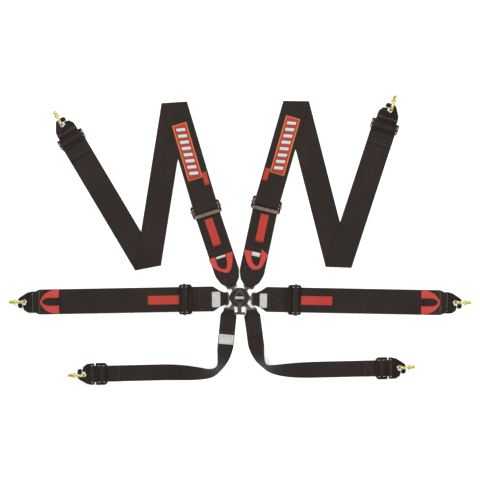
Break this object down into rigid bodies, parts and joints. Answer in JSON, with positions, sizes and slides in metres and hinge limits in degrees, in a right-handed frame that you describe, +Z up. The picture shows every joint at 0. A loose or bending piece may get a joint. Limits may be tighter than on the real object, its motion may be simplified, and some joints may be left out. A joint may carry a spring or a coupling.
{
  "type": "racing harness",
  "caption": "Six-point racing harness laid flat: twist-release cam buckle, folded shoulder straps, lap and sub straps, slide adjusters, clip-in hooks and threaded eye bolts.",
  "frame": {"origin": "centre of the buckle's back face, on the surface the harness lies on", "axes": "+Z up out of the buckle's face, +Y along the shoulder straps away from the buckle, +X to the wearer's left as seen from the front"},
  "size_m": [1.4086, 0.8831, 0.0467],
  "materials": {
    "webbing_black": "woven",
    "webbing_red": "woven",
    "hardware_black": "satin",
    "lever_grey": "satin",
    "cap_black": "matte",
    "tongue_steel": "brushed",
    "spring_steel": "polished",
    "zinc_yellow": "plated"
  },
  "bodies": {
    "buckle": {"buckle_housing": "hardware_black", "buckle_back_plate": "hardware_black", "housing_screws": "spring_steel", "pin_springs": "spring_steel", "lever_spring": "spring_steel", "tongue_lap_left": "tongue_steel", "webbing_lap_left": "webbing_black", "tongue_webbing_lap_left": "webbing_black", "adjuster_lap_left": "hardware_black", "pull_loop_lap_left": "webbing_red"},
    "lever": {"release_lever": "lever_grey", "lever_cap": "cap_black", "cam_plate": "spring_steel", "spindle": "spring_steel"},
    "lock_pins": {"lock_pins": "spring_steel"},
    "strap_shoulder_left": {"tongue_shoulder_left": "tongue_steel", "webbing_shoulder_left": "webbing_black", "tongue_webbing_shoulder_left": "webbing_black", "adjuster_shoulder_left": "hardware_black", "pull_loop_shoulder_left": "webbing_red", "slide_shoulder_left": "hardware_black"},
    "strap_shoulder_right": {"tongue_shoulder_right": "tongue_steel", "webbing_shoulder_right": "webbing_black", "tongue_webbing_shoulder_right": "webbing_black", "adjuster_shoulder_right": "hardware_black", "pull_loop_shoulder_right": "webbing_red", "slide_shoulder_right": "hardware_black"},
    "strap_lap_right": {"tongue_lap_right": "tongue_steel", "webbing_lap_right": "webbing_black", "tongue_webbing_lap_right": "webbing_black", "adjuster_lap_right": "hardware_black", "pull_loop_lap_right": "webbing_red"},
    "strap_sub_left": {"tongue_sub_left": "tongue_steel", "webbing_sub_left": "webbing_black", "slide_sub_left": "hardware_black"},
    "strap_sub_right": {"tongue_sub_right": "tongue_steel", "webbing_sub_right": "webbing_black", "slide_sub_right": "hardware_black"},
    "grip_shoulder_left": {"adjuster_bar_shoulder_left": "hardware_black"},
    "grip_shoulder_right": {"adjuster_bar_shoulder_right": "hardware_black"},
    "grip_lap_left": {"adjuster_bar_lap_left": "hardware_black"},
    "grip_lap_right": {"adjuster_bar_lap_right": "hardware_black"},
    "hook_shoulder_left": {"hook_shoulder_left": "hardware_black"},
    "gate_shoulder_left": {"gate_shoulder_left": "hardware_black"},
    "eye_shoulder_left": {"eye_bolt_shoulder_left": "zinc_yellow"},
    "hook_shoulder_right": {"hook_shoulder_right": "hardware_black"},
    "gate_shoulder_right": {"gate_shoulder_right": "hardware_black"},
    "eye_shoulder_right": {"eye_bolt_shoulder_right": "zinc_yellow"},
    "hook_lap_left": {"hook_lap_left": "hardware_black"},
    "gate_lap_left": {"gate_lap_left": "hardware_black"},
    "eye_lap_left": {"eye_bolt_lap_left": "zinc_yellow"},
    "hook_lap_right": {"hook_lap_right": "hardware_black"},
    "gate_lap_right": {"gate_lap_right": "hardware_black"},
    "eye_lap_right": {"eye_bolt_lap_right": "zinc_yellow"},
    "hook_sub_left": {"hook_sub_left": "hardware_black"},
    "gate_sub_left": {"gate_sub_left": "hardware_black"},
    "eye_sub_left": {"eye_bolt_sub_left": "zinc_yellow"},
    "hook_sub_right": {"hook_sub_right": "hardware_black"},
    "gate_sub_right": {"gate_sub_right": "hardware_black"},
    "eye_sub_right": {"eye_bolt_sub_right": "zinc_yellow"}
  },
  "joints": [
    {"name": "lever_turn", "type": "hinge", "parent": "buckle", "child": "lever", "pos_m": [0, 0, 0.01], "axis": [0, 0, 1], "range_deg": [0, 30], "stiffness_Nm_per_rad": 0.15},
    {"name": "pins_lift", "type": "slide", "parent": "buckle", "child": "lock_pins", "axis": [0, 0, 1], "range_m": [0, 0.004], "deforming": ["pin_springs"]},
    {"name": "swivel_shoulder_left", "type": "hinge", "parent": "buckle", "child": "strap_shoulder_left", "pos_m": [-0.01293, 0.01655, 0.004], "axis": [0, 0, 1], "range_deg": [0, 5]},
    {"name": "swivel_shoulder_right", "type": "hinge", "parent": "buckle", "child": "strap_shoulder_right", "pos_m": [0.01293, 0.01655, 0.004], "axis": [0, 0, 1], "range_deg": [-5, 0]},
    {"name": "swivel_lap_right", "type": "hinge", "parent": "buckle", "child": "strap_lap_right", "pos_m": [0.021, 0, 0.004], "axis": [0, 0, 1], "range_deg": [0, 2]},
    {"name": "swivel_sub_left", "type": "hinge", "parent": "buckle", "child": "strap_sub_left", "pos_m": [-0.0135, -0.01609, 0.004], "axis": [0, 0, 1], "range_deg": [-3, 3]},
    {"name": "swivel_sub_right", "type": "hinge", "parent": "buckle", "child": "strap_sub_right", "pos_m": [0.0135, -0.01609, 0.004], "axis": [0, 0, 1], "range_deg": [-3, 3]},
    {"name": "grip_slide_shoulder_left", "type": "slide", "parent": "strap_shoulder_left", "child": "grip_shoulder_left", "axis": [-0.3014, 0.9535, 0], "range_m": [0, 0.002]},
    {"name": "grip_slide_shoulder_right", "type": "slide", "parent": "strap_shoulder_right", "child": "grip_shoulder_right", "axis": [0.2425, 0.9701, 0], "range_m": [0, 0.002]},
    {"name": "grip_slide_lap_left", "type": "slide", "parent": "buckle", "child": "grip_lap_left", "axis": [-0.9998, -0.018, 0], "range_m": [0, 0.002]},
    {"name": "grip_slide_lap_right", "type": "slide", "parent": "strap_lap_right", "child": "grip_lap_right", "axis": [0.9998, -0.0189, 0], "range_m": [0, 0.002]},
    {"name": "hook_tilt_shoulder_left", "type": "hinge", "parent": "strap_shoulder_left", "child": "hook_shoulder_left", "pos_m": [-0.52353, 0.50106, 0.005], "axis": [0.8594, 0.5113, 0], "range_deg": [0, 60]},
    {"name": "gate_turn_shoulder_left", "type": "hinge", "parent": "hook_shoulder_left", "child": "gate_shoulder_left", "pos_m": [-0.52104, 0.52426, 0.00853], "axis": [0.0949, -0.1596, 0.9826], "range_deg": [0, 12], "stiffness_Nm_per_rad": 0.02},
    {"name": "eye_turn_shoulder_left", "type": "hinge", "parent": "hook_shoulder_left", "child": "eye_shoulder_left", "pos_m": [-0.54678, 0.53623, 0.01642], "axis": [0.8594, 0.5113, 0], "range_deg": [0, 100]},
    {"name": "hook_tilt_shoulder_right", "type": "hinge", "parent": "strap_shoulder_right", "child": "hook_shoulder_right", "pos_m": [0.44911, 0.54229, 0.005], "axis": [0.9506, -0.3105, 0], "range_deg": [0, 60]},
    {"name": "gate_turn_shoulder_right", "type": "hinge", "parent": "hook_shoulder_right", "child": "gate_shoulder_right", "pos_m": [0.4416, 0.56438, 0.00853], "axis": [0.0577, 0.1765, -0.9826], "range_deg": [0, 12], "stiffness_Nm_per_rad": 0.02},
    {"name": "eye_turn_shoulder_right", "type": "hinge", "parent": "hook_shoulder_right", "child": "eye_shoulder_right", "pos_m": [0.46409, 0.5817, 0.01642], "axis": [0.9506, -0.3105, 0], "range_deg": [0, 100]},
    {"name": "hook_tilt_lap_left", "type": "hinge", "parent": "buckle", "child": "hook_lap_left", "pos_m": [-0.6255, -0.0145, 0.005], "axis": [-0.018, 0.9998, 0], "range_deg": [0, 60]},
    {"name": "gate_turn_lap_left", "type": "hinge", "parent": "hook_lap_left", "child": "gate_lap_left", "pos_m": [-0.64392, -0.02883, 0.00853], "axis": [-0.1856, -0.0033, -0.9826], "range_deg": [0, 12], "stiffness_Nm_per_rad": 0.02},
    {"name": "eye_turn_lap_left", "type": "hinge", "parent": "hook_lap_left", "child": "eye_lap_left", "pos_m": [-0.66764, -0.01326, 0.01642], "axis": [-0.018, 0.9998, 0], "range_deg": [0, 100]},
    {"name": "hook_tilt_lap_right", "type": "hinge", "parent": "strap_lap_right", "child": "hook_lap_right", "pos_m": [0.6275, -0.0165, 0.005], "axis": [-0.0189, -0.9998, 0], "range_deg": [0, 60]},
    {"name": "gate_turn_lap_right", "type": "hinge", "parent": "hook_lap_right", "child": "gate_lap_right", "pos_m": [0.6459, -0.03085, 0.00853], "axis": [-0.1856, 0.0035, 0.9826], "range_deg": [0, 12], "stiffness_Nm_per_rad": 0.02},
    {"name": "eye_turn_lap_right", "type": "hinge", "parent": "hook_lap_right", "child": "eye_lap_right", "pos_m": [0.66964, -0.01529, 0.01642], "axis": [-0.0189, -0.9998, 0], "range_deg": [0, 100]},
    {"name": "hook_tilt_sub_left", "type": "hinge", "parent": "strap_sub_left", "child": "hook_sub_left", "pos_m": [-0.44449, -0.23358, 0.005], "axis": [-0.0237, 0.9997, 0], "range_deg": [0, 60]},
    {"name": "gate_turn_sub_left", "type": "hinge", "parent": "hook_sub_left", "child": "gate_sub_left", "pos_m": [-0.46349, -0.22003, 0.00853], "axis": [0.1856, 0.0044, 0.9826], "range_deg": [0, 12], "stiffness_Nm_per_rad": 0.02},
    {"name": "eye_turn_sub_left", "type": "hinge", "parent": "hook_sub_left", "child": "eye_sub_left", "pos_m": [-0.48655, -0.23658, 0.01642], "axis": [-0.0237, 0.9997, 0], "range_deg": [0, 100]},
    {"name": "hook_tilt_sub_right", "type": "hinge", "parent": "strap_sub_right", "child": "hook_sub_right", "pos_m": [0.45699, -0.21543, 0.005], "axis": [0.0234, -0.9997, 0], "range_deg": [0, 60]},
    {"name": "gate_turn_sub_right", "type": "hinge", "parent": "hook_sub_right", "child": "gate_sub_right", "pos_m": [0.47598, -0.22899, 0.00853], "axis": [-0.1856, -0.0043, 0.9826], "range_deg": [0, 12], "stiffness_Nm_per_rad": 0.02},
    {"name": "eye_turn_sub_right", "type": "hinge", "parent": "hook_sub_right", "child": "eye_sub_right", "pos_m": [0.49905, -0.21244, 0.01642], "axis": [0.0234, -0.9997, 0], "range_deg": [0, 100]}
  ],
  "couplings": [
    {"joint": "pins_lift", "follows": "lever_turn", "m_per_rad": 0.0076394}
  ]
}
